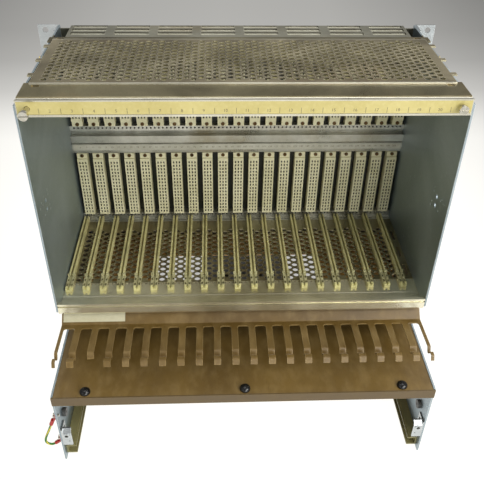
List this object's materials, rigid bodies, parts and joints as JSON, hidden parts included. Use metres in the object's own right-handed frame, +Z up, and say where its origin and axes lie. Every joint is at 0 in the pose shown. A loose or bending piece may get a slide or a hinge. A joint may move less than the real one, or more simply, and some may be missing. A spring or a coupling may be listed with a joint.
{
  "type": "card cage",
  "caption": "Open-front steel cage that guides plug-in circuit cards into rear connectors, above a combed cable duct and an empty fan tray bay.",
  "frame": {"origin": "middle of the footprint, on the surface the cage stands on", "axes": "+X to the right seen from the open front, +Y to the rear, +Z up"},
  "size_m": [0.4826, 0.31, 0.432],
  "materials": {
    "side_paint": "satin blue-grey",
    "yellow_zinc": "yellow passivated",
    "stained_zinc": "mottled",
    "cover_steel": "stained zinc",
    "floor_steel": "dull",
    "bright_rail": "polished",
    "rear_rail": "satin",
    "scale_strip": "printed strip",
    "board_black": "laminate",
    "zinc": "bright zinc",
    "connector_beige": "moulded",
    "brown_screw": "browned",
    "guide_plastic": "moulded, noses lighter",
    "bar_aluminium": "extruded",
    "label_yellow": "printed strip",
    "nickel": "nickel plated",
    "rear_cover_paint": "satin grey",
    "brown_enamel": "worn brown enamel",
    "plate_cream": "blank plate",
    "knob_black": "moulded",
    "olive_paint": "satin",
    "bush_grey": "moulded",
    "box_dark": "satin",
    "lead_green": "green and yellow insulation",
    "lug_red": "crimp sleeve"
  },
  "bodies": {
    "root": {"side_panel_left": "side_paint", "side_panel_right": "side_paint", "side_screws": "yellow_zinc", "floor_screws": "yellow_zinc", "front_top_rail": "stained_zinc", "rear_top_rail": "stained_zinc", "rail_clips": "yellow_zinc", "top_cover": "cover_steel", "bay_floor_sheet": "floor_steel", "front_bottom_rail": "bright_rail", "rear_bottom_rail": "rear_rail", "rear_middle_rail": "rear_rail", "scale_strip": "scale_strip", "backplane_board": "board_black", "backplane_screws": "zinc", "connectors_lower": "connector_beige", "connectors_upper": "connector_beige", "connector_screws": "brown_screw", "card_guides_lower": "guide_plastic", "card_guides_upper": "guide_plastic", "label_bar": "bar_aluminium", "label_strip": "label_yellow", "captive_screws": "nickel", "rear_cover": "rear_cover_paint", "mounting_ear_left": "zinc", "mounting_ear_right": "zinc", "ear_screws": "yellow_zinc", "cable_comb": "brown_enamel", "rating_plate": "plate_cream", "duct_floor": "brown_enamel", "floor_knobs": "knob_black", "slide_rail_left": "olive_paint", "slide_rail_right": "olive_paint", "tray_bracket_left": "zinc", "tray_bracket_right": "zinc", "rail_rivets": "zinc", "guide_bushes": "bush_grey", "fan_supply_box": "box_dark", "earth_lead": "lead_green", "earth_lugs": "lug_red", "earth_screws": "nickel"}
  },
  "joints": []
}
